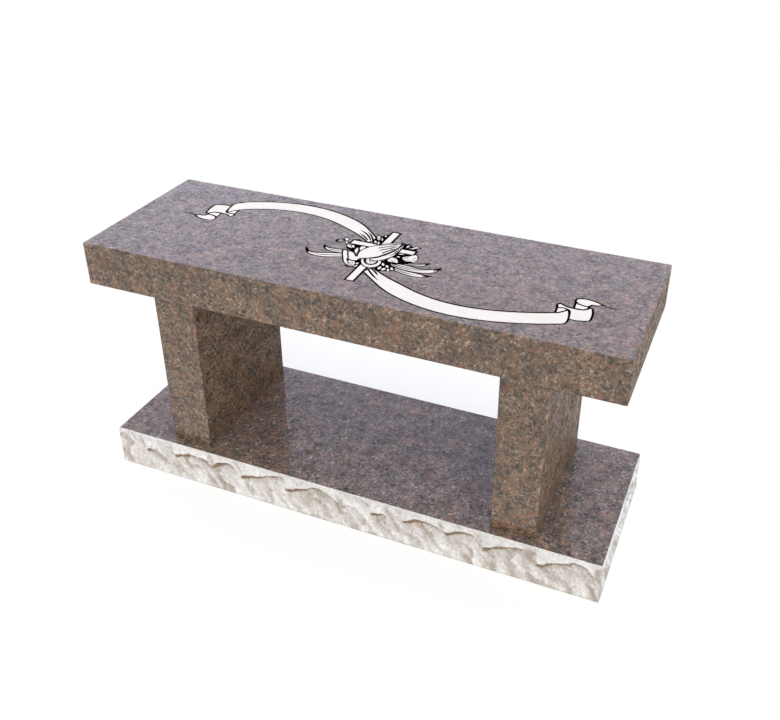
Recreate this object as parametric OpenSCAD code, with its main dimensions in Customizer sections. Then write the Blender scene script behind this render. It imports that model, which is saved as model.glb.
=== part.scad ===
// Memorial bench: a seat slab on two slab supports that stand on a base slab.
// All four stones are granite. The seat and the supports are sawn and polished,
// with a broken arris. The base is polished on top and rock-pitched on its sides.
// A ribbon, a cross, praying hands, leaves and roses are carved shallow in the seat.

/* [Seat] */
// Length of the seat slab
seat_length = 1219.2; // [1066.8:25.4:1524]
// Depth of the seat slab, front to back
seat_depth = 406.4; // [381:12.7:457.2]
// Thickness of the seat slab
seat_thickness = 101.6; // [76.2:12.7:127]

/* [Supports] */
// Thickness of one support, along the bench
support_thickness = 101.6; // [76.2:12.7:152.4]
// Depth of one support, front to back
support_depth = 355.6; // [254:12.7:381]
// Height of one support
support_height = 406.4; // [304.8:12.7:457.2]
// From the end of the seat to the outer face of a support
support_inset = 152.4; // [101.6:12.7:254]

/* [Base] */
// Length of the base slab
base_length = 1219.2; // [1066.8:25.4:1524]
// Depth of the base slab, front to back
base_depth = 406.4; // [381:12.7:457.2]
// Thickness of the base slab
base_thickness = 101.6; // [76.2:12.7:127]

/* [Finish] */
// Width of the broken arris on every polished edge
arris = 1.5; // [0.5:0.5:4]
// Depth of the deepest hollow in the rock-pitched sides
pitch_depth = 11; // [4:1:16]
// Straight margin under the top edge of the base, left by the pitching chisel
pitch_margin = 5; // [2:1:12]
// Picks another pattern of hollows
pitch_seed = 11; // [1:1:40]

/* [Carving] */
// Depth of the carving in the seat
carving_depth = 1; // [0.5:0.25:2]
// Width of the ribbon along its arms
ribbon_width = 44; // [34:2:50]
// Width of the ribbon where it gathers behind the cross
ribbon_gather = 18; // [12:1:26]
// Height of the cross
cross_height = 250; // [220:5:270]
// Length of the arms of the cross, end to end
cross_span = 155; // [130:5:170]
// Width of both beams of the cross
cross_beam = 21; // [16:1:26]

/* [Hidden] */

polished = [0.50, 0.41, 0.38];
polished_base = [0.47, 0.40, 0.42];

base_top = base_thickness;
seat_underside = base_top + support_height;
seat_top = seat_underside + seat_thickness;
support_middle = seat_length / 2 - support_inset - support_thickness / 2;

// The rock-pitched sides are a grid of columns round the slab and rows up it.
front_columns = 60;
end_columns = 20;
pitch_rows = 6;
hollow_length = 62;
hollow_lean = 0.7;
hollows_round = ceil(2 * (base_length + base_depth) / hollow_length);
hollows_high = 4;
hollow_depths = rands(0, 1, hollows_round * hollows_high, pitch_seed);

// The carving is laid out from the middle of the seat's top, with +Y to the back.
curve_steps = 18;
cross_x = 9;
cross_top = 120;
cross_arm_y = 40;
hands_clearance = 3;
hands_reach = 60;
left_arm = [[-411, 101], [-290, 175], [-160, 175], [-23, 57]];
right_arm = [[456, -106], [282, -184], [167, -175], [27, -66]];

function ease(t) = t * t * (3 - 2 * t);
function mix(a, b, t) = a + (b - a) * t;
function unit(v) = v / norm(v);
function across(v) = [-v[1], v[0]];

// A point on a curve with four guide points, and the curve's direction there.
function curve(p, t) =
    pow(1 - t, 3) * p[0] + 3 * pow(1 - t, 2) * t * p[1] + 3 * (1 - t) * t * t * p[2] + pow(t, 3) * p[3];
function heading(p, t) =
    unit(pow(1 - t, 2) * (p[1] - p[0]) + 2 * (1 - t) * t * (p[2] - p[1]) + t * t * (p[3] - p[2]));
function walk(p) = [for (i = [0:curve_steps]) curve(p, i / curve_steps)];

// One arm of the ribbon: full width, then narrower over its last quarter.
function arm_width(t) = mix(ribbon_width, ribbon_gather, ease(max(0, 4 * t - 3)));
function arm_edge(p, side) = [
    for (i = [0:curve_steps])
        let (t = i / curve_steps)
        curve(p, t) + side * arm_width(t) / 2 * across(heading(p, t))
];
function reversed(points) = [for (i = [len(points) - 1:-1:0]) points[i]];
function arm(p) = concat(arm_edge(p, 1), reversed(arm_edge(p, -1)));

// A slender leaf from its stem to its tip, bowed sideways.
function leaf_edge(stem, tip, bow, width, side) = [
    for (i = [0:curve_steps])
        let (t = i / curve_steps)
        mix(stem, tip, t) + across(unit(tip - stem)) * (bow * 4 * t * (1 - t) + side * width / 2 * sin(180 * t))
];
function leaf(stem, tip, bow, width) =
    concat(leaf_edge(stem, tip, bow, width, 1), reversed(leaf_edge(stem, tip, bow, width, -1)));

// Depth of the hollows, as smooth steps between random depths on a leaning grid.
function hollow(i, j) = hollow_depths[(i + hollows_round) % hollows_round + hollows_round * min(j, hollows_high - 1)];
function hollow_at(run, rise) =
    let (
        u = (run + hollow_lean * rise) / hollow_length,
        v = rise / base_thickness * (hollows_high - 1),
        i = floor(u),
        j = floor(v),
        a = mix(hollow(i, j), hollow(i + 1, j), ease(u - i)),
        b = mix(hollow(i, j + 1), hollow(i + 1, j + 1), ease(u - i))
    )
    mix(a, b, ease(v - j));
function pitch_at(run, z) =
    let (below = base_top - z, grip = min(1, max(0, below - pitch_margin) / (2 * pitch_margin)))
    pitch_depth * ease(grip) * mix(0.15, 1, sin(180 * min(1, 0.12 + z / base_thickness))) * hollow_at(run, z);

// One ring of points round the base at a height. Each side runs between corners
// that are set in both ways by the depth found at that corner.
function rim(z) =
    let (
        x = base_length / 2,
        y = base_depth / 2,
        starts = [0, base_length, base_length + base_depth, 2 * base_length + base_depth],
        corners = [for (s = starts) pitch_at(s, z)],
        a = [-x + corners[0], -y + corners[0]],
        b = [x - corners[1], -y + corners[1]],
        c = [x - corners[2], y - corners[2]],
        d = [-x + corners[3], y - corners[3]]
    )
    concat(
        [for (i = [0:front_columns - 1]) let (t = i / front_columns)
            [mix(a[0], b[0], t), i == 0 ? a[1] : -y + pitch_at(starts[0] + t * base_length, z), z]],
        [for (i = [0:end_columns - 1]) let (t = i / end_columns)
            [i == 0 ? b[0] : x - pitch_at(starts[1] + t * base_depth, z), mix(b[1], c[1], t), z]],
        [for (i = [0:front_columns - 1]) let (t = i / front_columns)
            [mix(c[0], d[0], t), i == 0 ? c[1] : y - pitch_at(starts[2] + t * base_length, z), z]],
        [for (i = [0:end_columns - 1]) let (t = i / end_columns)
            [i == 0 ? d[0] : -x + pitch_at(starts[3] + t * base_depth, z), mix(d[1], a[1], t), z]]
    );

// A rectangle with its corners cut at 45 degrees.
module cut_rectangle(length, width, cut) {
    x = length / 2;
    y = width / 2;
    polygon([
        [-x + cut, -y], [x - cut, -y], [x, -y + cut], [x, y - cut],
        [x - cut, y], [-x + cut, y], [-x, y - cut], [-x, -y + cut]
    ]);
}

// A sawn slab, standing on z = 0, with an arris on all twelve edges.
module slab(length, depth, height) {
    translate([0, 0, height / 2]) intersection() {
        linear_extrude(height, center = true) cut_rectangle(length, depth, arris);
        rotate([90, 0, 0]) linear_extrude(depth, center = true) cut_rectangle(length, height, arris);
        rotate([90, 0, 90]) linear_extrude(length, center = true) cut_rectangle(depth, height, arris);
    }
}

// The furled end of the ribbon, drawn for the left end of an arm at [0, 0]:
// a return fold, a panel, a second fold and a tapering tail.
module furled_end() {
    polygon([[4, -21], [18, -12], [26, -41], [17, -48], [4, -40]]);
    polygon([[-46, -13], [-14, -1], [-9, -22], [-2, -42], [-39, -54]]);
    polygon(concat(
        [[-34, -59], [-5, -45]],
        walk([[-4, -62], [-2, -82], [-20, -91], [-52, -82]]),
        walk([[-50, -80], [-36, -76], [-31, -70], [-28, -63]])
    ));
}

module ribbon() {
    polygon(arm(left_arm));
    polygon(arm(right_arm));
    translate(left_arm[0]) furled_end();
    translate(right_arm[0]) rotate(180) furled_end();
}

module cross() {
    translate([cross_x - cross_beam / 2, cross_top - cross_height]) square([cross_beam, cross_height]);
    translate([cross_x - cross_span / 2, cross_arm_y - cross_beam / 2]) square([cross_span, cross_beam]);
}

// Two hands pressed together, from the fingertips round the heel to the cuff.
module hands() {
    polygon(concat(
        walk([[44, 72], [22, 70], [-4, 54], [-16, 38]]),
        walk([[-24, 28], [-34, 12], [-30, -14], [-20, -28]]),
        walk([[-8, -52], [6, -66], [34, -66], [38, -46]]),
        walk([[40, -36], [50, -10], [52, 20], [50, 46]])
    ));
}

module leaves() {
    polygon(leaf([-56, -30], [-142, -35], 11, 13));
    polygon(leaf([-60, -12], [-112, -6], 8, 9));
    polygon(leaf([52, -25], [162, -4], -20, 12));
    polygon(leaf([66, -42], [152, -50], -12, 12));
    polygon(leaf([74, -16], [132, 3], -6, 8));
}

// A rose as a ring of petals round a bud.
module rose(radius) {
    circle(radius * 0.5, $fn = 24);
    for (i = [0:4])
        rotate(i * 72) translate([radius * 0.6, 0]) circle(radius * 0.42, $fn = 24);
}

module roses() {
    translate([86, 12]) rose(19);
    translate([-58, 16]) rose(14);
    translate([-42, -46]) rose(17);
    translate([66, -58]) rose(12);
}

module seat() {
    color(polished) difference() {
        translate([0, 0, seat_underside]) slab(seat_length, seat_depth, seat_thickness);
        translate([0, 0, seat_top - carving_depth]) linear_extrude(2 * carving_depth) {
            difference() {
                union() {
                    ribbon();
                    cross();
                }
                scale(1 + hands_clearance / hands_reach) hands();
            }
            hands();
            leaves();
            roses();
        }
    }
}

module support(side) {
    color(polished)
        translate([side * support_middle, 0, base_top]) slab(support_thickness, support_depth, support_height);
}

module base() {
    ring = 2 * (front_columns + end_columns);
    // The rows crowd together under the top edge, where the chisel margin turns inward.
    levels = concat(
        [for (k = [0:pitch_rows]) k / pitch_rows * (base_top - 3 * pitch_margin)],
        [base_top - 2 * pitch_margin, base_top - pitch_margin, base_top]
    );
    rows = len(levels);
    top_row = ring * (rows - 1);
    // The flat top and underside are fans of triangles round a middle point.
    underside_middle = ring * rows;
    top_middle = underside_middle + 1;
    color(polished_base) polyhedron(
        points = concat([for (z = levels) each rim(z)], [[0, 0, 0], [0, 0, base_top]]),
        faces = concat(
            [for (i = [0:ring - 1]) [underside_middle, i, (i + 1) % ring]],
            [for (i = [0:ring - 1]) [top_middle, top_row + (i + 1) % ring, top_row + i]],
            [for (k = [0:rows - 2], i = [0:ring - 1])
                let (a = i + ring * k, b = (i + 1) % ring + ring * k) [a, a + ring, b]],
            [for (k = [0:rows - 2], i = [0:ring - 1])
                let (a = i + ring * k, b = (i + 1) % ring + ring * k) [b, a + ring, b + ring]]
        )
    );
}

seat();
support(-1);  // support_left
support(1);  // support_right
base();
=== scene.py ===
"""Memorial bench in polished granite: a seat with a carved and painted top, two supports
and a base with rock-pitched sides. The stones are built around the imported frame, in metres."""

import functools
import math

import bmesh
import bpy
import numpy as np
from bpy.props import FloatProperty, FloatVectorProperty, PointerProperty
from mathutils import Matrix, Vector
from mathutils.geometry import delaunay_2d_cdt


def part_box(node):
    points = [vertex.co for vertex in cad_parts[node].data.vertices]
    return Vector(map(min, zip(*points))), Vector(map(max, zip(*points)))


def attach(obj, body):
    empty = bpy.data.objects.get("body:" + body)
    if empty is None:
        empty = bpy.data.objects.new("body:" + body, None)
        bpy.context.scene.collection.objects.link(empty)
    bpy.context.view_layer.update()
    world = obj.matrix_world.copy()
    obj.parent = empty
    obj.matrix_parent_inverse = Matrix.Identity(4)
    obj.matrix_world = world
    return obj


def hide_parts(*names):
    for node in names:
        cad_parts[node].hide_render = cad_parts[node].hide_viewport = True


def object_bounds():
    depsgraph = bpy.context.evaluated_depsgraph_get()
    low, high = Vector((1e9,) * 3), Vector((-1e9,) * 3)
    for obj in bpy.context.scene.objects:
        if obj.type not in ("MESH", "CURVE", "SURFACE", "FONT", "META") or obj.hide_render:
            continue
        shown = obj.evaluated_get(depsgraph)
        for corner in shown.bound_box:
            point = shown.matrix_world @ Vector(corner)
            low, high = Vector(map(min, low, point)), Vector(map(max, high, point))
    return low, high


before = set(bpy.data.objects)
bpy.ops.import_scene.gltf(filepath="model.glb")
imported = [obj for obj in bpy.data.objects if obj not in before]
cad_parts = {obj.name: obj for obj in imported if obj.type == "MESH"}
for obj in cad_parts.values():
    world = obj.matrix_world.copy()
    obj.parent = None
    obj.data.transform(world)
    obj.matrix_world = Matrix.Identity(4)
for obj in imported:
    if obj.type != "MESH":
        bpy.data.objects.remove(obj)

bl_info = {
    "name": "Memorial bench",
    "version": (1, 0, 0),
    "blender": (4, 5, 0),
    "location": "3D View > Sidebar > Bench",
    "description": "Builds a granite memorial bench around its measured frame",
    "category": "Add Mesh",
}

MM = 0.001
CAD_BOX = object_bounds()
SEAT_LOW, SEAT_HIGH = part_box("seat")
BASE_LOW, BASE_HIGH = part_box("base")

# What lies at a spot on the seat's top.
STONE, WHITE, BLACK = 0, 1, 2
# The finishes of the base's faces, in the order of its materials.
POLISHED, PITCHED, SAWN = 0, 1, 2


# --- Settings


def amount(name, description, default, **more):
    """A number among the settings."""
    return FloatProperty(name=name, description=description, default=default, **more)


def length(name, description, default):
    """A length in metres among the settings."""
    return amount(name, description, default, unit="LENGTH", precision=5)


def colour(name, description, default):
    """A linear colour among the settings."""
    return FloatVectorProperty(
        name=name, description=description, default=default, subtype="COLOR", size=3, min=0.0, max=1.0
    )


class BenchStoneSettings(bpy.types.PropertyGroup):
    """Sizes and colours of the polished stone."""

    arris: length("Arris", "Radius of the broken edges of polished stone", 1.6 * MM)
    feldspar: colour("Feldspar", "The tan crystals that make up most of the stone", (0.141, 0.096, 0.065))
    quartz: colour("Quartz", "The grey crystals", (0.078, 0.057, 0.043))
    iron: colour("Iron stain", "The orange-brown crystals", (0.190, 0.084, 0.035))
    mica: colour("Mica", "The dark flecks", (0.015, 0.012, 0.010))
    pale: colour("Pale feldspar", "The palest crystals", (0.267, 0.193, 0.138))
    crystal: length("Crystal", "Size of one crystal", 4.8 * MM)


class BenchCarvingSettings(bpy.types.PropertyGroup):
    """Depths and colours of the carving in the seat."""

    recess: length("Recess", "Depth of the blasted recess in the seat", 1.0 * MM)
    white_depth: length("White depth", "Depth of the whitened ground under the polish", 0.45 * MM)
    black_depth: length("Black depth", "Depth of the blackened lines under the polish", 0.75 * MM)
    ribbon_line: amount("Ribbon line", "Width of the ribbon's outline in mm", 4.8)
    bold_line: amount("Bold line", "Width of the cross's outline in mm", 5.6)
    white: colour("White", "The whitened ground", (0.79, 0.755, 0.725))
    black: colour("Black", "The blackened lines", (0.0022, 0.0020, 0.0020))


class BenchBaseSettings(bpy.types.PropertyGroup):
    """Sizes and colours of the rock-pitched sides."""

    grid: length("Grid", "Spacing of the points on the rock-pitched sides", 2.5 * MM)
    shell: length("Shell", "How far each shell of broken stone steps back", 6.5 * MM)
    margin: length("Margin", "Height over which the break grows below the top edge", 3.0 * MM)
    pitch: length("Pitch", "How far the top edge is pitched back", 1.5 * MM)
    hollow: length("Hollow", "Depth of the broad hollows", 4.0 * MM)
    step: length("Step", "How far the stone steps back under a ledge", 7.0 * MM)
    ripple: length("Ripple", "Height of the small ripples", 1.1 * MM)
    fresh: colour("Fresh stone", "Freshly broken granite", (0.98, 0.962, 0.95))
    # Brown under the ledges: iron stain and painted shadow of the overhang together.
    stain: colour("Stain", "Iron stain under the ledges", (0.25, 0.145, 0.070))
    # Beige patches in lean streaks, and painted shade in the hollows under the ledges, take this colour.
    shade: colour("Shade", "Grey-beige patches in the hollows", (0.44, 0.368, 0.295))


class BenchStageSettings(bpy.types.PropertyGroup):
    """The floor and the light."""

    floor: colour("Floor", "Colour of the floor", (0.92, 0.92, 0.92))
    floor_size: length("Floor size", "Side of the square floor", 60.0)
    sky: colour("Sky", "Colour of the soft light from all round", (0.98, 0.98, 0.98))
    sky_strength: amount("Sky strength", "Strength of the light from all round", 0.44)
    key: amount("Key", "Strength of the key lamp", 1.58)
    overhead: amount("Overhead", "Strength of the overhead lamp", 1.45)
    side: amount("Side", "Strength of the low cool lamp on the right", 1.12)
    back: amount("Back", "Strength of the warm lamp behind the bench", 0.7)
    panel: colour("Panel", "Colour of the soft panel behind the bench", (0.36, 0.50, 1.0))
    panel_power: amount("Panel power", "Power of that panel", 112.0, unit="POWER")


# --- Drawing in the plane of the seat, in millimetres from the seat's middle


# The share of a stroke over which it swells at its start and thins at its end.
TAPER = 0.35
# The least a corner's two sides count for, which cuts a pointed corner short.
BLUNT = 0.35
# Points of the drawing nearer than this, in mm, become one.
WELD = 0.01


def ease(t):
    """A smooth rise from 0 to 1, level beyond both."""
    t = np.clip(t, 0, 1)
    return t * t * (3 - 2 * t)


def across(v):
    """The directions turned a quarter turn to the left."""
    return np.stack([-v[..., 1], v[..., 0]], -1)


def unit(v):
    """The same directions with a length of 1."""
    return v / np.maximum(np.linalg.norm(v, axis=-1, keepdims=True), 1e-9)


def bend(guides, steps=24):
    """Points along a curve with four guide points."""
    a, b, c, d = np.array(guides, float)
    t = np.linspace(0, 1, steps + 1)[:, None]
    return (1 - t) ** 3 * a + 3 * (1 - t) ** 2 * t * b + 3 * (1 - t) * t * t * c + t**3 * d


def through(*points, steps=5):
    """Points along a smooth curve that runs through the given points."""
    p = np.array(points, float)
    p = np.vstack([2 * p[0] - p[1], p, 2 * p[-1] - p[-2]])
    t = np.linspace(0, 1, steps, endpoint=False)[:, None]
    runs = []
    for a, b, c, d in zip(p, p[1:], p[2:], p[3:]):
        runs.append(b + 0.5 * t * ((c - a) + t * (2 * a - 5 * b + 4 * c - d + t * (3 * (b - c) + d - a))))
    return np.vstack(runs + [p[-2:-1]])


def join(*runs):
    """One closed outline from several runs, with a corner where they meet."""
    points = np.vstack([np.atleast_2d(np.array(r, float)) for r in runs])
    keep = np.linalg.norm(points - np.roll(points, 1, axis=0), axis=1) > 0.05
    return points[keep]


def loop(*runs, steps=5):
    """One closed outline from several smooth runs, with a corner where they meet."""
    return join(*(through(*run, steps=steps) for run in runs))


def anticlockwise(points):
    """An outline in anticlockwise order."""
    x, y = points.T
    area = np.sum(x * np.roll(y, -1) - y * np.roll(x, -1))
    return points if area > 0 else points[::-1]


def grown(points, distance):
    """An outline moved outward, or inward where distance is below 0, with pointed corners cut short."""
    before = unit(points - np.roll(points, 1, axis=0))
    after = unit(np.roll(points, -1, axis=0) - points)
    n1, n2 = -across(before), -across(after)
    return points + distance * (n1 + n2) / np.maximum(1 + np.sum(n1 * n2, axis=1, keepdims=True), BLUNT)


class Drawing:
    """Shapes laid over each other from the back to the front. Each one is an outline and a finish."""

    def __init__(self):
        self.layers = []

    def lay(self, points, finish):
        """A flat shape on top of the ones before."""
        self.layers.append((anticlockwise(points), finish))

    def shape(self, points, line, inner=None, shadow=(0.0, 0.0)):
        """A white shape with a black outline, and a black shadow to one side where shadow isn't 0."""
        points = anticlockwise(points)
        outer = grown(points, line / 2)
        if any(shadow):
            self.lay(outer + np.array(shadow), BLACK)
        self.lay(outer, BLACK)
        self.lay(grown(points, -(line if inner is None else inner) / 2), WHITE)

    def patch(self, line, *runs):
        """A white shape inside smooth runs, with a corner where they meet."""
        self.shape(loop(*runs), line)

    def line(self, points, *look):
        """A smooth stroke through a few points."""
        self.stroke(through(*points), *look)

    def stroke(self, path, width, start=0.15, end=0.15):
        """A black line that swells from start to full width and thins to end, as shares of its width."""
        t = np.linspace(0, 1, len(path))[:, None]
        rise, fall = np.minimum(t / TAPER, 1), np.minimum((1 - t) / TAPER, 1)
        swell = np.minimum(start + (1 - start) * rise, end + (1 - end) * fall)
        side = across(unit(np.gradient(path, axis=0))) * swell * width / 2
        self.lay(join(path + side, (path - side)[::-1]), BLACK)


# Guide points of the two arms of the ribbon, from the furled end to the gather.
LEFT_ARM = ((-413, 99), (-300, 176), (-150, 182), (-24, 58))
RIGHT_ARM = ((460, -105), (285, -184), (170, -184), (24, -70))
RIBBON_WIDTH, GATHER_WIDTH = 43.5, 27.0


def arm_edges(guides):
    """Both edges of an arm: full width, then narrower over its last quarter."""
    path = bend(guides, 40)
    t = np.linspace(0, 1, len(path))[:, None]
    width = RIBBON_WIDTH + (GATHER_WIDTH - RIBBON_WIDTH) * ease(4.5 * t - 3.5)
    side = across(unit(np.gradient(path, axis=0))) * width / 2
    return path + side, path - side


def furled_end(at, turned):
    """The pieces of the ribbon's furled end beyond an arm, turned half round where turned is true."""
    back = join(through((-28, 36), (-15, 38), (-6, 33), (-3, 24)), [(-4, 16), (-26, 12)])
    turn = join([(1, 67), (3, 45)], through((3, 44), (20, 45), (28, 51), (30, 60)), [(12, 66)])
    tail = loop(
        ((1, 69), (-1, 76), (1, 83), (10, 88), (24, 89), (40, 85), (54, 77)),
        ((54, 77), (44, 71), (34, 70), (29, 62)),
        ((28, 61), (18, 61), (8, 64), (2, 69)),
    )
    panel = join(
        through((-31, 47), (-25, 52), (-12, 45), (2, 43), (20, 44), (28, 50), (32, 57)),
        through((32, 57), (38, 54), (41, 44), (43.5, 30), (44, 14), (43, 7)),
        through((43, 7), (30, 1), (16, -1.5), (3, -1)),
        [(2, 10), (0, 24)],
        through((0, 24), (-4, 33), (-15, 37), (-28, 35)),
    )
    whip = through((53, 76), (64, 73), (76, 72), (88, 72))
    fold = through((-9, -27), (0, -22), (4, -11), (3, 5), (0, 20), (-5, 33), (-11, 26), (-20, 16))
    pieces = (back, turn, tail, panel, whip, fold)
    return [np.array(at) - piece if turned else piece + np.array(at) for piece in pieces]


def draw_ribbon(art, line):
    """Both arms of the ribbon and their furled ends. An arm's first points lie under its fold."""
    under_fold = 3
    for guides, turned in ((LEFT_ARM, True), (RIGHT_ARM, False)):
        back, turn, tail, panel, whip, fold = furled_end(guides[0], turned)
        art.shape(turn, line)
        art.shape(tail, line)
        art.stroke(whip, 5.0, 0.7, 0.3)
        art.shape(back, line)
        art.shape(panel, line)
        outer, inner = arm_edges(guides)
        art.shape(join(fold, inner[under_fold:], outer[under_fold:][::-1]), line)


def draw_gathers(art):
    """Fold lines that run out of the gathers along both arms."""
    for path, width, start, end in (
        (((-76, 101), (-58, 91), (-42, 76), (-30, 60)), 4.6, 0.2, 0.7),
        (((-70, 85), (-56, 76), (-44, 66), (-37, 58)), 4.6, 0.2, 0.7),
        (((-54, 97), (-42, 86), (-30, 70), (-20, 52)), 4.4, 0.3, 0.9),
        (((54, -87), (42, -74), (30, -64)), 5.0, 0.2, 0.9),
        (((63, -106), (46, -92), (32, -78), (24, -70)), 5.0, 0.2, 0.9),
    ):
        art.line(path, width, start, end)


def spread(path, count):
    """A path again, with a given number of evenly spaced points."""
    steps = np.concatenate([[0], np.cumsum(np.linalg.norm(np.diff(path, axis=0), axis=1))])
    places = np.linspace(0, steps[-1], count)
    return np.stack([np.interp(places, steps, path[:, 0]), np.interp(places, steps, path[:, 1])], -1)


# Each leaf: its upper edge from stem to tip, its lower edge back to the stem, the hook of its tip, and its
# veins as (share of the way from the upper edge to the lower, number of points from the stem).
VEIN = ((0.52, 18),)
LEAVES = (
    (
        ((-52, -20), (-75, -27), (-92, -33), (-110, -40), (-128, -42), (-143, -31)),
        ((-132, -48), (-118, -54), (-100, -55), (-80, -50), (-52, -38)), (-3, 5), VEIN,
    ),
    (
        ((-58, -4), (-70, -6), (-85, -8), (-100, -9), (-113, -3)),
        ((-108, -14), (-97, -20), (-82, -23), (-58, -22)), (-2, 5), VEIN,
    ),
    (
        ((70, -8), (84, -10), (100, -9), (118, -4), (134, 6)),
        ((127, -8), (110, -17), (92, -20), (70, -22)), (1, -7), VEIN,
    ),
    (
        ((56, -36), (80, -42), (100, -45), (122, -46), (140, -48), (155, -48)),
        ((146, -58), (128, -62), (110, -62), (88, -57), (56, -46)), (4, 1), VEIN,
    ),
    (
        ((44, -22), (75, -21), (100, -22), (124, -26), (147, -19), (164, -5)),
        ((158, -28), (138, -40), (112, -44), (80, -41), (44, -30)), (3, -12), ((0.36, 20), (0.68, 15)),
    ),
)


def draw_leaves(art, line):
    """Slender leaves with hooked tips and fine veins."""
    count = 24
    for upper, lower, hook, veins in LEAVES:
        lower = spread(through(upper[-1], *lower), count)
        upper = spread(through(*upper), count)
        art.shape(join(upper, lower), line)
        tip, back = upper[-1], (upper[-5] + lower[4]) / 2
        art.stroke(np.vstack([back, tip, tip + np.array(hook)]), 7.0, 0.5, 0.5)
        for share, reach in veins:
            vein = upper * (1 - share) + lower[::-1] * share
            art.stroke(vein[:reach], 3.4, 1.0, 0.1)


def petal(base, tip, width):
    """A pointed petal or small leaf."""
    base, tip = np.array(base, float), np.array(tip, float)
    side = across(unit(tip - base)) * width / 2
    low, high = base * 0.7 + tip * 0.3, base * 0.35 + tip * 0.65
    left = (base, low + side * 0.85, high + side, tip)
    return loop(left, (tip, high - side, low - side * 0.85, base), steps=4)


def draw_petals(art, *petals):
    """Petals, each as (base, tip, width, line)."""
    for base, tip, width, line in petals:
        art.shape(petal(base, tip, width), line)


def disc(middle, radius, squash=1.0, count=20):
    """A round spot, or an oval one where squash is below 1."""
    turn = np.linspace(0, 2 * math.pi, count, endpoint=False)
    return np.stack([middle[0] + radius * np.cos(turn), middle[1] + radius * squash * np.sin(turn)], -1)


def draw_thicket(art):
    """The dark ground between the leaves and flowers round the cross."""
    for first, *rest in (
        ((-56, 27), (-20, 28), (-26, -6), (-40, -8), (-52, -4), (-66, 8)),
        ((-26, 60), (-25, 78), (-16, 84), (-12, 98), (-4, 102), (2, 80), (2, 46), (-18, 48)),
        ((-68, 50), (-56, 55), (-44, 50), (-22, 50), (-30, 44), (-62, 44)),
        ((40, 78), (48, 74), (58, 74), (70, 66), (82, 62), (84, 50), (62, 46), (46, 50)),
        ((48, 30), (70, 31), (88, 28), (100, 14), (98, -6), (82, -20), (60, -28), (40, -24), (38, 4)),
        ((32, -18), (48, -26), (62, -34), (75, -45), (74, -57), (62, -64), (48, -68), (34, -58)),
        ((-22, -36), (-8, -36), (4, -60), (0, -76), (-12, -74), (-20, -62)),
    ):
        art.lay(through(first, *rest, first)[:-1], BLACK)


def draw_cross(art, line):
    """The cross, with a narrow shadow to its right and below it."""
    top, foot, near, far = 117.5, -129.0, -1.0, 17.0
    left, right, low, high = -66.0, 85.5, 29.0, 47.0
    corners = [
        (near, top), (near, high), (left, high), (left, low), (near, low), (near, foot),
        (far, foot), (far, low), (right, low), (right, high), (far, high), (far, top),
    ]
    art.shape(np.array(corners, float), line, line * 0.6, shadow=(1.4, -0.6))


def draw_flowers(art):
    """Small leaves, buds and two open flowers, round the cross from its left to its right."""
    art.lay(disc((-92, 32), 11), BLACK)
    art.lay(disc((-91, 32), 6.5), STONE)
    draw_petals(
        art,
        ((-74, 36), (-88, 52), 9, 2.6), ((-72, 22), (-78, 38), 6, 2.4), ((-50, 8), (-70, 22), 10, 2.6),
        ((-48, 10), (-58, 24), 8, 2.4), ((-12, 64), (-25, 92), 9, 2.6),
    )
    art.line(((-14, 68), (-19, 78), (-22, 85)), 1.4)
    draw_petals(art, ((-4, 64), (-12, 84), 5, 2.2))
    art.shape(disc((-8, 93), 4.0, count=14), 2.4)
    draw_petals(
        art, ((-12, 50), (-22, 64), 7, 2.4), ((-4, 46), (-12, 62), 6, 2.2), ((58, 54), (60, 72), 7, 2.6),
    )
    art.shape(through((62, 54), (70, 60), (76, 68), (84, 68), (80, 62), (74, 55), steps=4), 2.2)
    art.line(((84, 69), (87, 65), (91, 61)), 4.5, 0.6, 0.6)
    draw_petals(art, ((52, 21), (68, 27), 6, 2.2))
    art.shape(disc((59, 9), 4.5, 0.8, 14), 2.2)
    art.patch(
        3.0,
        ((92, 33), (99, 24), (103, 12), (102, 2), (97, -5)),
        ((97, -5), (90, -2), (84, -5), (77, -3)),
        ((77, -3), (71, 2), (67, 10), (72, 16), (78, 20), (84, 27), (92, 33)),
    )
    for path in (
        ((71, 4), (78, 8), (82, 14)),
        ((70, 10), (77, 13), (83, 20)),
        ((77, -1), (83, 2), (87, 9)),
        ((100, 10), (95, 4), (92, -2)),
        ((97, 22), (93, 15), (92, 8)),
    ):
        art.line(path, 2.0, 0.9, 0.1)
    art.patch(2.6, ((46, 2), (58, 0), (66, -8), (71, -20)), ((71, -20), (60, -19), (48, -20), (42, -14)))
    for spot in ((55, -5), (53, -12), (60, -12), (57, -16)):
        art.lay(disc(spot, 1.8, 0.8, 10), BLACK)
    art.line(((-32, -70), (-22, -75), (-12, -74)), 6.0, 0.6, 0.8)
    draw_petals(
        art,
        ((39, -29), (48, -44), 7, 2.0), ((50, -36), (60, -47), 8, 2.0), ((43, -45), (43, -63), 8, 2.0),
        ((55, -48), (51, -64), 9, 2.0), ((64, -41), (73, -55), 7, 2.0), ((60, -49), (67, -63), 7, 2.0),
        ((-6, -48), (-14, -62), 7, 2.0), ((-4, -60), (-10, -73), 6, 2.0),
    )


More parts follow.
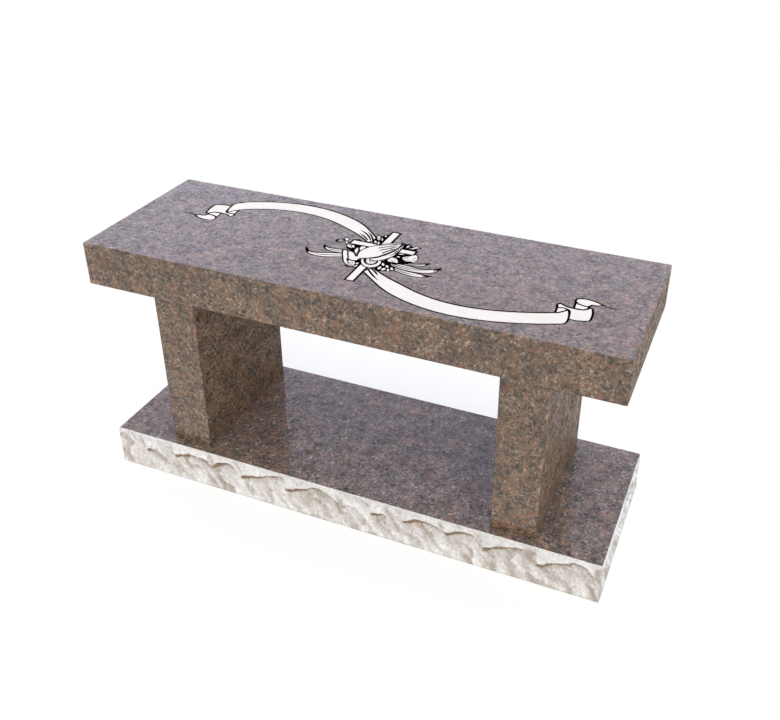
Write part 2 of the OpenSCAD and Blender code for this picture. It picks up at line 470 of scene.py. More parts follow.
def draw_sleeves(art, line):
    """Two loose sleeves: one falls to the left, one rolls round the wrists."""
    art.patch(
        line,
        ((-66, -9), (-60, -5), (-53, -9), (-46, -22), (-40, -34), (-37, -46), (-30, -52)),
        (
            (-30, -52), (-20, -54), (-12, -58), (-10, -66), (-20, -69),
            (-34, -63), (-43, -53), (-50, -40), (-58, -26), (-66, -9),
        ),
    )
    art.patch(
        line,
        ((-52, -8), (-44, -7), (-36, -12), (-26, -24), (-17, -32)),
        ((-17, -32), (-17, -42), (-26, -44), (-36, -42), (-42, -30), (-48, -20), (-52, -8)),
    )
    cuff = ((-33, -46), (-25, -47), (-17, -48), (-13, -56), (-13, -63), (-24, -62), (-31, -56), (-33, -46))
    art.patch(2.2, cuff)
    for base in (-29, -25, -21):
        art.line(((base, -52), (base + 2, -57), (base + 2, -61)), 1.5, 0.8, 0.1)
    art.patch(
        line,
        ((-11, -33), (-5, -46), (4, -56), (16, -61), (28, -58), (36, -49), (38, -36), (35, -24)),
        ((35, -24), (26, -22), (28, -36), (23, -46), (14, -49), (5, -44), (-1, -36), (-4, -29), (-11, -33)),
    )
    wrist = ((0, -31), (5, -40), (14, -45), (22, -42), (25, -32), (24, -24), (12, -22), (0, -31))
    art.shape(through(*wrist)[:-1], 2.4)
    art.line(((9, -27), (12, -35), (18, -34), (19, -27)), 2.6, 0.6, 0.3)


def draw_hands(art, line):
    """Two hands pressed palm to palm, with the fingers up to the right."""
    art.patch(
        line,
        ((44, 73), (50, 64), (51, 48), (50, 28), (49, 12), (44, -1), (38, -12), (30, -22), (18, -29)),
        ((18, -29), (6, -24), (20, -10), (30, 8), (39, 28), (43, 52), (44, 73)),
    )
    for thumb in (
        (((-24, 27), (-36, 25), (-36, 14), (-30, 2)), ((-30, 2), (-26, 12), (-24, 27))),
        (((-40, 19), (-43, 8), (-41, -3), (-34, -12)), ((-34, -12), (-31, -4), (-35, 8), (-40, 19))),
    ):
        art.patch(2.6, *thumb)
    art.patch(
        3.4,
        (
            (42, 71), (33, 71), (20, 65), (6, 56), (-8, 42),
            (-19, 28), (-26, 14), (-29, 0), (-27, -14), (-22, -30),
        ),
        ((-22, -30), (-12, -28), (0, -22), (11, -14), (20, -4), (28, 12), (36, 30), (42, 50), (42, 71)),
    )
    art.lay(np.array([(-25, -24), (-16, -25), (-17, -38), (-30, -38)], float), WHITE)


def draw_fingers(art):
    """Lines between the fingers of the near hand, and short strokes that shade them."""
    tips = ((39, 67), (38, 59), (38, 50), (37, 41))
    roots = ((-8, 38), (0, 27), (8, 17), (20, 8))
    for tip, root in zip(tips, roots):
        tip, root = np.array(tip, float), np.array(root, float)
        run = unit(root - tip)
        sag = across(run) * -2.5
        art.line((tip, (tip + root) / 2 + sag, root), 3.8, 0.9, 0.25)
        for k in range(6):
            start = tip + (root - tip) * (0.12 + 0.13 * k) - across(run) * 3.6
            bent = start + run * 3 + across(run) * 0.5
            art.line((start, bent, start + run * 6), 2.8, 0.9, 0.4)
    art.line(((32, 14), (23, -2), (12, -13), (0, -20)), 3.4, 0.3, 0.4)
    art.line(((45, 34), (44, 16), (38, 4)), 3.0, 0.6, 0.1)
    for k in range(6):
        y = 67 - 8 * k
        art.line(((43, y), (46.5, y - 3), (50, y - 9)), 2.8, 0.8, 0.5)
    for k in range(4):
        x, y = 27 + 2.4 * k, 2 + 7 * k
        art.line(((x, y), (x + 4, y + 2), (x + 8, y + 6)), 2.0, 0.9, 0.2)


def carving_layers(ribbon_line, bold_line):
    """The whole drawing, from the back to the front."""
    art = Drawing()
    draw_ribbon(art, ribbon_line)
    draw_gathers(art)
    draw_leaves(art, 4.4)
    draw_thicket(art)
    draw_cross(art, bold_line)
    draw_flowers(art)
    draw_sleeves(art, 3.4)
    draw_hands(art, 3.6)
    draw_fingers(art)
    return art.layers


@functools.lru_cache(maxsize=1)
def carving_plan(ribbon_line, bold_line, arris):
    """The seat's top cut along the drawing: its points in mm, its triangles, and what lies at each."""
    layers = carving_layers(ribbon_line, bold_line)
    half_x = (SEAT_HIGH.x - SEAT_LOW.x) / 2 / MM - arris / MM
    half_y = (SEAT_HIGH.y - SEAT_LOW.y) / 2 / MM - arris / MM
    points = [(-half_x, -half_y), (half_x, -half_y), (half_x, half_y), (-half_x, half_y)]
    edges = [(0, 1), (1, 2), (2, 3), (3, 0)]
    for outline, _ in layers:
        first, count = len(points), len(outline)
        points.extend(map(tuple, outline))
        edges.extend((first + k, first + (k + 1) % count) for k in range(count))
    cut = delaunay_2d_cdt([Vector(p) for p in points], edges, [], 0, WELD)
    corners = np.array([tuple(p) for p in cut[0]])
    triangles = np.array([tuple(f) for f in cut[2]])
    middles = corners[triangles].mean(axis=1)
    finish = np.zeros(len(triangles), int)
    for outline, kind in layers:
        finish[turns_round(outline, middles) > 0] = kind
    return corners, triangles, finish


def turns_round(outline, spots):
    """How many times an outline runs anticlockwise round each spot."""
    turns = np.zeros(len(spots), int)
    near = np.all((spots > outline.min(axis=0)) & (spots < outline.max(axis=0)), axis=1)
    x, y = spots[near].T[:, :, None]
    (x0, y0), (x1, y1) = outline.T, np.roll(outline, -1, axis=0).T
    left = (x1 - x0) * (y - y0) - (x - x0) * (y1 - y0)
    turns[near] = np.sum((y0 <= y) & (y1 > y) & (left > 0), axis=1)
    turns[near] -= np.sum((y0 > y) & (y1 <= y) & (left < 0), axis=1)
    return turns


# --- Meshes


def link(name, data):
    """A new object in the scene."""
    made = bpy.data.objects.new(name, data)
    bpy.context.scene.collection.objects.link(made)
    return made


def add_piece(name, mesh, materials, slot, nodes=()):
    """A finished piece that rides on the bench and stands for the named nodes."""
    piece = link(name, mesh)
    for finish in materials:
        mesh.materials.append(finish)
    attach(piece, "root")
    if nodes:
        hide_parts(*nodes)


def soften(mesh):
    """Smooth shading on the rounded edges and corners only, and the honed finish across the bench."""
    square = 0.999
    for face in mesh.polygons:
        face.use_smooth = max(abs(part) for part in face.normal) < square
        face.material_index = int(abs(face.normal.x) > square)


def rounded_block(low, high, arris):
    """A block with rounded edges, as a bmesh."""
    block = bmesh.new()
    size, middle = Vector(high) - Vector(low), (Vector(high) + Vector(low)) / 2
    bmesh.ops.create_cube(block, size=1.0, matrix=Matrix.Translation(middle) @ Matrix.Diagonal((*size, 1.0)))
    bmesh.ops.bevel(block, geom=list(block.edges), offset=arris, segments=4, profile=0.5, affect="EDGES")
    return block


def to_mesh(shape, name, turn_faces=True):
    """A mesh from a bmesh, with its faces turned outward where they aren't already."""
    if turn_faces:
        bmesh.ops.recalc_face_normals(shape, faces=list(shape.faces))
    mesh = bpy.data.meshes.new(name)
    shape.to_mesh(mesh)
    shape.free()
    return mesh


def rim_edges(triangles, inside):
    """The edges, in order of walking, that have a chosen triangle on the left and none on the right."""
    chosen = triangles[inside]
    edges = np.vstack([chosen[:, [0, 1]], chosen[:, [1, 2]], chosen[:, [2, 0]]])
    known = set(map(tuple, edges))
    return [(a, b) for a, b in known if (b, a) not in known]


def corner_maker(block, corners):
    """A function that gives a block's vertex over a corner of the drawing at a height."""
    middle = (SEAT_LOW + SEAT_HIGH) / 2
    made = {}

    def corner(index, height):
        if (index, height) not in made:
            x, y = corners[index] * MM
            made[index, height] = block.verts.new((middle.x + x, middle.y + y, height))
        return made[index, height]

    return corner


def seat_block(settings, carving):
    """The seat with the recess of its carving cut into the top."""
    arris = settings.arris
    corners, triangles, finish = carving_plan(carving.ribbon_line, carving.bold_line, arris)
    block = rounded_block(SEAT_LOW, SEAT_HIGH, arris)
    lid = [f for f in block.faces if f.normal.z > 0.99 and f.calc_area() > 0.1]
    bmesh.ops.delete(block, geom=lid, context="FACES_ONLY")
    top, floor = SEAT_HIGH.z, SEAT_HIGH.z - carving.recess
    corner = corner_maker(block, corners)
    for triangle, kind in zip(triangles, finish):
        block.faces.new([corner(k, top if kind == STONE else floor) for k in triangle])
    for a, b in rim_edges(triangles, finish != STONE):
        block.faces.new([corner(b, floor), corner(a, floor), corner(a, top), corner(b, top)])
    bmesh.ops.remove_doubles(block, verts=list(block.verts), dist=1e-7)
    return to_mesh(block, "seat_slab")


def ground_block(settings, carving, kind, depth, name):
    """The coloured ground of the recess, as a thin closed block under the polished top."""
    corners, triangles, finish = carving_plan(carving.ribbon_line, carving.bold_line, settings.arris)
    top, floor = SEAT_HIGH.z - depth, SEAT_HIGH.z - carving.recess
    block = bmesh.new()
    corner = corner_maker(block, corners)
    for triangle in triangles[finish == kind]:
        block.faces.new([corner(k, top) for k in triangle])
        block.faces.new([corner(k, floor) for k in triangle[::-1]])
    for a, b in rim_edges(triangles, finish == kind):
        block.faces.new([corner(a, floor), corner(b, floor), corner(b, top), corner(a, top)])
    return to_mesh(block, name, turn_faces=False)


# Ledges along the front of the base, as points (along, up) in mm from the middle of its lower edge.
FRONT_LEDGES = (
    ((-545, 50), (-526, 58), (-505, 54)),
    ((-459, 58), (-434, 68), (-400, 74), (-373, 71), (-352, 58)),
    ((-350, 60), (-325, 72), (-297, 81), (-280, 72)),
    ((-270, 56), (-224, 66), (-171, 82), (-156, 70)),
    ((-152, 53), (-137, 55), (-96, 68), (-55, 87), (-30, 78), (0, 52)),
    ((70, 52), (92, 61), (118, 56)),
    ((148, 56), (176, 70), (211, 75), (241, 70), (250, 57)),
    ((250, 59), (278, 72), (312, 82), (334, 72)),
    ((340, 48), (378, 65), (413, 76), (446, 79)),
    ((462, 50), (485, 57), (519, 71), (545, 80), (576, 77), (602, 51)),
)


def side_ledges(side, width):
    """Ledges along one side of the base: chosen ones at the front, and arches of mixed widths elsewhere."""
    if side == 0:
        return [through(*points) for points in FRONT_LEDGES]
    rng = np.random.default_rng(40 + side)
    ledges, start = [], -width / 2 + rng.uniform(5, 30)
    while start < width / 2 - 40:
        reach, low, high = rng.uniform(50, 165), rng.uniform(42, 64), rng.uniform(68, 86)
        crest = start + reach * rng.uniform(0.5, 0.85)
        end, fall = start + reach, rng.uniform(2, 30)
        half_way = ((start + crest) / 2, (low + high) / 2 + 3)
        ledges.append(through((start, low), half_way, (crest, high), (end, high - fall)))
        start = end + rng.uniform(-6, 40)
    return ledges


def plane_noise(u, v, seed, cells=128):
    """Smooth noise from -1 to 1 over a plane, with one swell in each unit."""
    table = np.random.default_rng(seed).uniform(-1, 1, (cells, cells))
    iu, iv = np.floor(u).astype(int), np.floor(v).astype(int)
    fu, fv = ease(u - iu), ease(v - iv)

    def row(j):
        return table[iu % cells, j % cells] * (1 - fu) + table[(iu + 1) % cells, j % cells] * fu

    return row(iv) * (1 - fv) + row(iv + 1) * fv


def saw(place, lip):
    """How far the stone steps back over one shell: a steep rise over its lip, then a slow fall."""
    return np.where(place < lip, ease(place / lip), 1 - (place - lip) / (1 - lip))


def pitched_side(side, width, height, settings):
    """How far one side is broken back at a grid of places, its brown stain with painted shadow under the
    ledges, and its beige patches with painted shade.
    """
    grid = settings.grid / MM
    run = np.linspace(-width / 2, width / 2, round(width / grid) + 1)
    along, up = np.meshgrid(run, np.linspace(0, height, round(height / grid) + 1), indexing="ij")
    # The stone broke in shells that lean to one side: across is measured over them, down along them.
    over, down = along + 0.9 * up, 0.9 * along - up

    def swells(u, v, wide, high, seed):
        return plane_noise(u / wide, v / high, seed + side)

    broad = swells(over, up, 70, 46, 11) + 0.5 * swells(over, up, 33, 24, 21)
    depth = settings.hollow / MM * (1 - np.abs(np.clip(broad, -1, 1)))
    wander = 0.55 * swells(along, up, 52, 34, 5) + 0.3 * swells(down, over, 90, 60, 61)
    shell = (over / 68 + wander) % 1.0
    strength = np.clip(0.75 + 0.7 * swells(along, up, 80, 60, 71), 0.1, 1.0)
    depth += settings.shell / MM * saw(shell, 0.11) * strength
    small = (over / 21 + 0.8 * swells(along, up, 19, 13, 81)) % 1.0
    depth += 0.3 * settings.shell / MM * saw(small, 0.2)
    ripple = swells(over, down, 12, 17, 31) + 0.6 * swells(along, up, 5, 4, 41)
    depth += settings.ripple / MM * (1 + ripple).clip(0)
    # A brown line along the step of each shell: painted shadow under the step, tinted as iron stain.
    stain = 0.55 * strength * np.exp(-(((shell - 0.02) / 0.035) ** 2)) * (up < height * 0.8)
    streak = swells(over, down, 8, 42, 91) + swells(over, down, 17, 60, 95)
    # Beige patches in lean streaks, and darker beige over the later part of each shell.
    shade = 0.25 + 0.66 * strength * np.clip((shell - 0.30) / 0.6, 0, 1) + 0.30 * streak
    for path in side_ledges(side, width):
        x, z = path[:, 0], path[:, 1]
        inside = ease(np.minimum(along - x.min(), x.max() - along) / 14)
        below = np.interp(along, x, z) + 1.2 * swells(along, along * 0, 11, 1, 51) - up
        fall = inside * np.exp(-np.maximum(below, 0) / 24)
        depth += settings.step / MM * fall * ease((below + 1.5) / 3.5)
        depth *= 1 - 0.5 * inside * ease((8 - np.abs(below + 7)) / 8)
        # A brown line just below each ledge, thickest at its left end: painted shadow under the overhang,
        # tinted as iron stain.
        start = np.exp(-np.maximum(along - x.min() - 8, 0) / 22)
        deep, wide = 0.7 + 0.9 * start, 4.0 + 2.5 * start
        stain = np.maximum(stain, deep * inside * np.exp(-(((below - 5.5) / wide) ** 2)))
        # Painted shade in the hollow under each ledge, fading downward; none on the stone above the ledge,
        # which stays bright.
        shade = np.maximum(shade * (1 - inside * (below < 0)), fall * np.clip(below / 5, 0, 1))
    edge = (1 - np.exp(-np.maximum(height - up, 0) / (settings.margin / MM))) * (1 - 0.95 * np.exp(-up / 7))
    edge *= 1 - 0.8 * np.exp(-(width / 2 - np.abs(along)) / 9)
    # Neither patches nor painted shade within 16 mm of the top edge, which stays bright.
    shade = shade.clip(0, 1) * np.clip((height - up) / 16, 0, 1)
    brow = settings.pitch / MM * np.exp(-(height - up) / 5)
    return (depth * edge + brow) * MM, stain, shade


def base_block(settings, arris):
    """The base: a flat polished top, four pitched sides and a flat underside."""
    low, high = BASE_LOW, BASE_HIGH
    widths = [(high.x - low.x) / MM, (high.y - low.y) / MM] * 2
    height = (high.z - arris - low.z) / MM
    sides = [pitched_side(side, widths[side], height, settings) for side in range(4)]
    starts = np.array([(low.x, low.y), (high.x, low.y), (high.x, high.y), (low.x, high.y)])
    heads = np.array([(1.0, 0.0), (0.0, 1.0), (-1.0, 0.0), (0.0, -1.0)])
    rings, stains_and_shadows, patches_and_shades = [], [], []
    for side, (depth, stain, shade) in enumerate(sides):
        before, after = sides[side - 1][0][-1], sides[(side + 1) % 4][0][0]
        share = np.linspace(0, 1, len(depth))[:, None]
        along = before * (1 - share) + (widths[side] * MM - after) * share
        flat = starts[side] + along[..., None] * heads[side] + depth[..., None] * across(heads[side])
        rise = np.broadcast_to(np.linspace(low.z, high.z - arris, depth.shape[1]), depth.shape)
        rings.append(np.dstack([flat, rise])[:-1])
        stains_and_shadows.append(stain[:-1])
        patches_and_shades.append(shade[:-1])
    skin = np.vstack(rings)
    count, rows = skin.shape[:2]
    rim = settings.pitch + arris
    inner = np.clip(skin[:, -1, :2], (low.x + rim, low.y + rim), (high.x - rim, high.y - rim))
    lid = np.dstack([inner[:, None, :], np.full((count, 1), high.z)])
    skin = np.hstack([skin, lid])
    rows += 1
    faces = []
    for k in range(count):
        a, b = k * rows, (k + 1) % count * rows
        faces.extend((a + row, b + row, b + row + 1, a + row + 1) for row in range(rows - 1))
    kinds = [PITCHED] * len(faces)
    for row, kind in ((rows - 1, POLISHED), (0, SAWN)):
        ring = [k * rows + row for k in range(count)]
        flat = [Vector(skin[k, row, :2]) / MM for k in range(count)]
        cut = delaunay_2d_cdt(flat, [], [list(range(count))], 1, 1e-4)
        for triangle in cut[2]:
            face = [ring[cut[3][k][0]] for k in triangle]
            faces.append(face if kind == POLISHED else face[::-1])
            kinds.append(kind)
    mesh = bpy.data.meshes.new("base_slab")
    mesh.from_pydata(skin.reshape(-1, 3).tolist(), [], faces)
    mesh.polygons.foreach_set("material_index", kinds)
    mesh.polygons.foreach_set("use_smooth", [kind == PITCHED for kind in kinds])
    # Each point's stain with painted shadow, and its beige patches with painted shade.
    for name, parts in (("stain", stains_and_shadows), ("shade", patches_and_shades)):
        values = np.hstack([np.vstack(parts), np.zeros((count, 1))])
        mesh.attributes.new(name, "FLOAT", "POINT").data.foreach_set("value", values.ravel())
    mesh.update()
    return mesh


# --- Materials


# Plain white, which also leaves a colour that it multiplies as it is.
PLAIN = (1.0, 1.0, 1.0)


def node(tree, kind, inputs=None, **settings):
    """A shader node. Each input is a value or the output of another node."""
    made = tree.nodes.new("ShaderNode" + kind)
    for name, value in settings.items():
        setattr(made, name, value)
    for name, value in (inputs or {}).items():
        if isinstance(value, bpy.types.NodeSocket):
            tree.links.new(value, made.inputs[name])
        else:
            made.inputs[name].default_value = value
    return made


def maths(tree, operation, a, b):
    """One step of arithmetic on two values."""
    return node(tree, "Math", {0: a, 1: b}, operation=operation).outputs[0]


def remap(tree, value, low, high, to_low, to_high):
    """A value carried from one range to another and held at its ends."""
    inputs = {"Value": value, "From Min": low, "From Max": high, "To Min": to_low, "To Max": to_high}
    return node(tree, "MapRange", inputs).outputs["Result"]


def vary(tree, texture, low, high):
    """A value that follows a noise from low to high. Most of a noise lies between 0.3 and 0.7."""
    return remap(tree, texture, 0.3, 0.7, low, high)


def opaque(tint):
    """A colour with its alpha, or an output as it is."""
    return tint if isinstance(tint, bpy.types.NodeSocket) else (*tint, 1.0)


def mixed(tree, share, a, b, how="MIX"):
    """Two colours mixed by a share."""
    inputs = {0: share, 6: opaque(a), 7: opaque(b)}
    return node(tree, "Mix", inputs, data_type="RGBA", blend_type=how).outputs[2]


def ramp(tree, value, stops, interpolation="LINEAR"):
    """A colour looked up along stops of (place, colour)."""
    made = node(tree, "ValToRGB", {0: value})
    made.color_ramp.interpolation = interpolation
    elements = made.color_ramp.elements
    for k in (0, -1):
        elements[k].position, elements[k].color = stops[k][0], opaque(stops[k][1])
    for place, tint in stops[1:-1]:
        elements.new(place).color = opaque(tint)
    return made.outputs["Color"]


def noise(tree, place, size, detail=2.0, roughness=0.5, output=0):
    """Noise with swells of a given size in metres."""
    inputs = {"Vector": place, "Scale": 1 / size, "Detail": detail, "Roughness": roughness}
    return node(tree, "TexNoise", inputs).outputs[output]


def new_material(name):
    """An empty material and its tree of nodes."""
    made = bpy.data.materials.new(name)
    made.use_nodes = True
    made.node_tree.nodes.clear()
    return made, made.node_tree


def surface(tree, tint, rough, relief, ior=1.5, gloss=0.5):
    """The shader of a stone, whose relief is its strength, its depth in metres and its height."""
    strength, depth, height = relief
    bump = node(tree, "Bump", {"Strength": strength, "Distance": depth, "Height": height})
    inputs = {"Base Color": tint, "Roughness": rough, "IOR": ior, "Specular IOR Level": gloss}
    shader = node(tree, "BsdfPrincipled", {**inputs, "Normal": bump.outputs[0]})
    node(tree, "OutputMaterial", {"Surface": shader.outputs[0]})


def stone_place(tree, shift):
    """Places inside the block that a stone was sawn from, slightly stirred so crystals aren't angular."""

    def vectors(operation, inputs):
        return node(tree, "VectorMath", inputs, operation=operation).outputs[0]

    spot = vectors("ADD", {0: node(tree, "TexCoord").outputs["Object"], 1: shift})
    stir = noise(tree, spot, 5 * MM, 1.0, output="Color")
    stir = vectors("SUBTRACT", {0: stir, 1: (0.5, 0.5, 0.5)})
    return vectors("ADD", {0: spot, 1: vectors("SCALE", {0: stir, "Scale": 2.6 * MM})})


def crystals(tree, place, stone):
    """The colour of polished granite, and how dull each crystal is."""
    cell = node(tree, "TexVoronoi", {"Vector": place, "Scale": 1 / stone.crystal, "Randomness": 1.0})
    draw = node(tree, "SeparateColor", {0: cell.outputs["Color"]})
    kinds = [(0.00, stone.mica), (0.10, stone.quartz), (0.38, stone.feldspar), (0.80, stone.pale)]
    tint = ramp(tree, draw.outputs[0], kinds, "CONSTANT")
    tint = mixed(tree, 1.0, tint, remap(tree, draw.outputs[1], 0.0, 1.0, 0.5, 1.5), "MULTIPLY")
    # Crystals blur into one another, in flecks and in patches.
    soft = noise(tree, place, 7.5 * MM, 5.0, 0.65)
    blend = [(0.37, stone.mica), (0.50, stone.feldspar), (0.64, stone.pale)]
    tint = mixed(tree, 0.45, tint, ramp(tree, soft, blend))
    fleck = remap(tree, noise(tree, place, 3.6 * MM, 2.0, 0.6), 0.34, 0.47, 0.92, 0.0)
    tint = mixed(tree, fleck, tint, stone.mica)
    # Iron has stained the stone in broad faint patches and a few strong spots.
    patch = remap(tree, noise(tree, place, 24 * MM, 3.0, 0.6), 0.48, 0.66, 0.0, 0.36)
    spots = remap(tree, noise(tree, place, 11 * MM, 2.0, 0.5), 0.60, 0.64, 0.0, 0.72)
    tint = mixed(tree, maths(tree, "MAXIMUM", patch, spots), tint, stone.iron)
    # Broad clouds, from a cooler and darker stone to a warmer and paler one.
    drift = noise(tree, place, 36 * MM, 4.0, 0.7)
    cloud = ramp(tree, drift, [(0.36, (0.69, 0.695, 0.72)), (0.50, PLAIN), (0.64, (1.36, 1.30, 1.28))])
    # Dark crystals take the polish badly.
    sunk = maths(tree, "ADD", soft, maths(tree, "MULTIPLY", maths(tree, "SUBTRACT", drift, 0.5), 0.7))
    dull = maths(tree, "MAXIMUM", remap(tree, sunk, 0.42, 0.48, 1.0, 0.0), fleck)
    return mixed(tree, 1.0, tint, cloud, "MULTIPLY"), dull


def polished_granite(name, stone, shift, polish=0.10, gloss=0.5, painted_sky_sheen=PLAIN):
    """Granite with a mirror polish, or honed to a soft gloss where polish is rougher."""
    made, tree = new_material(name)
    place = stone_place(tree, shift)
    tint, dull = crystals(tree, place, stone)
    # A tint given here paints a reflection of the cool sky into the colour of the polished faces.
    tint = mixed(tree, 1.0, tint, painted_sky_sheen, "MULTIPLY")
    wear = vary(tree, noise(tree, place, 60 * MM), -0.02, 0.02)
    rough = maths(tree, "ADD", remap(tree, dull, 0.0, 1.0, polish - 0.03, polish + 0.40), wear)
    pits = maths(tree, "MULTIPLY", noise(tree, place, 1.6 * MM, 3.0, 0.65), 0.3)
    height = maths(tree, "SUBTRACT", pits, maths(tree, "MULTIPLY", dull, 0.2))
    surface(tree, tint, rough, (0.10, 0.05 * MM, height), 1.54, gloss)
    return made


def sawn_granite(name, stone, shift):
    """The same stone with a dull sawn face."""
    made, tree = new_material(name)
    place = stone_place(tree, shift)
    tint = mixed(tree, 0.45, crystals(tree, place, stone)[0], (0.50, 0.45, 0.41))
    marks = node(tree, "TexWave", {"Vector": place, "Scale": 60.0, "Distortion": 2.0, "Detail": 2.0})
    grain = noise(tree, place, 1.2 * MM, 3.0, 0.7)
    height = maths(tree, "ADD", grain, maths(tree, "MULTIPLY", marks.outputs[1], 0.4))
    surface(tree, tint, vary(tree, grain, 0.62, 0.8), (0.4, 0.3 * MM, height))
    return made


def pitched_granite(name, stone, broken, shift):
    """Freshly broken stone, with brown lines of stain and painted shadow under its ledges, and beige patches
    and painted shade in its hollows.
    """
    made, tree = new_material(name)
    place = stone_place(tree, shift)
    # Brown lines of iron stain and painted shadow under the ledges.
    stain = node(tree, "Attribute", attribute_name="stain").outputs["Fac"]
    # Painted shade in the hollows under the ledges, and random beige patches.
    shade = node(tree, "Attribute", attribute_name="shade").outputs["Fac"]
    crystal, dull = crystals(tree, place, stone)
    ragged = noise(tree, place, 9 * MM, 4.0, 0.65)
    tint = mixed(tree, remap(tree, dull, 0.0, 1.0, 0.0, 0.16), broken.fresh, crystal)
    # The share of the shade colour: painted shade and beige patches, broken up by noise.
    sheen = maths(tree, "ADD", shade, vary(tree, ragged, -0.35, 0.35))
    tint = mixed(tree, remap(tree, sheen, 0.1, 1.0, 0.0, 0.90), tint, broken.shade)
    line = maths(tree, "ADD", stain, vary(tree, ragged, -0.3, 0.3))
    tint = mixed(tree, remap(tree, line, 0.25, 0.80, 0.0, 0.92), tint, broken.stain)
    coarse = noise(tree, place, 6 * MM, 6.0, 0.75)
    tint = mixed(tree, remap(tree, coarse, 0.30, 0.52, 0.60, 0.0), tint, broken.shade)
    surface(tree, tint, vary(tree, coarse, 0.72, 0.9), (1.0, 6.0 * MM, coarse))
    return made


def blasted_ground(name, tint, contrast, rough):
    """A sandblasted and coloured ground, with the grain of the stone left in it."""
    made, tree = new_material(name)
    place = stone_place(tree, (0.0, 0.0, 0.0))
    grain = noise(tree, place, 1.4 * MM, 4.0, 0.7)
    wear = vary(tree, noise(tree, place, 45 * MM, 3.0), 0.96, 1.02)
    value = maths(tree, "MULTIPLY", vary(tree, grain, 1 - contrast, 1.0), wear)
    tint = mixed(tree, 1.0, tint, value, "MULTIPLY")
    surface(tree, tint, vary(tree, grain, rough - 0.08, rough + 0.05), (0.45, 0.35 * MM, grain), 1.45, 0.0)
    return made


def ray_kinds(tree):
    """1 for rays from the camera, and for mirror and glass rays, and 0 for the rest."""
    path = node(tree, "LightPath").outputs
    seen = maths(tree, "MAXIMUM", path["Is Camera Ray"], path["Is Glossy Ray"])
    return maths(tree, "MAXIMUM", seen, path["Is Transmission Ray"])


def floor_material(stage):
    """A white floor that takes the bench's shadow and turns plain white away from it."""
    near, far, plain_near = 0.7, 1.5, 0.56
    made, tree = new_material("floor_white")
    place = node(tree, "NewGeometry").outputs["Position"]
    away = node(tree, "VectorMath", {0: place}, operation="LENGTH").outputs["Value"]
    tint = mixed(tree, vary(tree, noise(tree, place, 0.4, 3.0), 0.0, 0.03), stage.floor, PLAIN)
    shader = node(tree, "BsdfPrincipled", {"Base Color": tint, "Roughness": 0.9, "Specular IOR Level": 0.0})
    plain = node(tree, "Emission", {"Color": opaque(PLAIN), "Strength": 1.0})
    share = maths(tree, "MULTIPLY", ray_kinds(tree), remap(tree, away, near, far, plain_near, 1.0))
    both = node(tree, "MixShader", {0: share, 1: shader.outputs[0], 2: plain.outputs[0]})
    node(tree, "OutputMaterial", {"Surface": both.outputs[0]})
    return made


# --- Operators


def add_slab(name, mesh, stone, slot, shift):
    """A polished stone in its place, honed on its faces across the bench."""
    soften(mesh)
    finishes = [
        polished_granite("granite_" + name, stone, shift),
        polished_granite("granite_" + name + "_honed", stone, shift, polish=0.50, gloss=0.12),
    ]
    add_piece(name + "_slab", mesh, finishes, slot, [name])


class BENCH_OT_add_seat(bpy.types.Operator):
    """Build the polished seat with the recess of its carving"""

    bl_idname = "bench.add_seat"
    bl_label = "Add the seat"

    def execute(self, context):
        stone = context.scene.bench_stone
        mesh = seat_block(stone, context.scene.bench_carving)
        add_slab("seat", mesh, stone, "seat_granite", (3.1, 1.7, 0.4))
        return {"FINISHED"}


class BENCH_OT_add_carving(bpy.types.Operator):
    """Fill the recess with its whitened ground and its blackened lines"""

    bl_idname = "bench.add_carving"
    bl_label = "Add the carving"

    def execute(self, context):
        stone, carving = context.scene.bench_stone, context.scene.bench_carving
        grounds = (
            ("carving_white", WHITE, carving.white_depth, carving.white, 0.16, 0.85),
            ("carving_black", BLACK, carving.black_depth, carving.black, 0.35, 0.80),
        )
        for name, kind, depth, tint, contrast, rough in grounds:
            mesh = ground_block(stone, carving, kind, depth, name)
            finish = blasted_ground(name, tint, contrast, rough)
            add_piece(name, mesh, [finish], name)
        return {"FINISHED"}


class BENCH_OT_add_supports(bpy.types.Operator):
    """Build the two polished supports"""

    bl_idname = "bench.add_supports"
    bl_label = "Add the supports"

    def execute(self, context):
        stone = context.scene.bench_stone
        for name, shift in (("support_left", (-2.3, 0.9, 1.2)), ("support_right", (5.2, -1.4, 2.6))):
            low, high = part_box(name)
            mesh = to_mesh(rounded_block(low, high, stone.arris), name + "_slab")
            add_slab(name, mesh, stone, "support_granite", shift)
        return {"FINISHED"}


class BENCH_OT_add_base(bpy.types.Operator):
    """Build the base with its polished top and rock-pitched sides"""

    bl_idname = "bench.add_base"
    bl_label = "Add the base"

    def execute(self, context):
        stone, broken = context.scene.bench_stone, context.scene.bench_base
        mesh = base_block(broken, stone.arris)
        shift = (-6.4, 2.2, -1.8)
        finishes = [
            # This slab's polished top is tinted paler and bluer, a painted reflection of the cool sky on its
            # level face, and it is a little less bright in its polish.
            polished_granite("granite_base", stone, shift, gloss=0.32, painted_sky_sheen=(1.18, 1.34, 1.64)),
            pitched_granite("granite_pitched", stone, broken, shift),
            sawn_granite("granite_sawn", stone, shift),
        ]
        add_piece("base_slab", mesh, finishes, "base_granite", ["base"])
        return {"FINISHED"}


# Where the camera stands in metres, and how it is turned in degrees.
CAMERA_PLACE = (0.7825, -1.6526, 1.5177)
CAMERA_TURN, CAMERA_DIP, CAMERA_ROLL = 22.504, 30.570, 0.308
CAMERA_LENS, CAMERA_SHIFT = 43.31, (-0.0295, -0.0493)

# Far lamps: name, colour, compass turn from the front, rise, and the width of their soft disc in degrees.
LAMPS = (
    ("key", (1.0, 0.95, 0.90), 30, 30, 50),
    ("overhead", (1.0, 0.96, 0.92), 20, 82, 60),
    ("side", (0.52, 0.79, 1.0), 80, 12, 50),
    ("back", (1.0, 0.84, 0.60), 200, 25, 60),
)
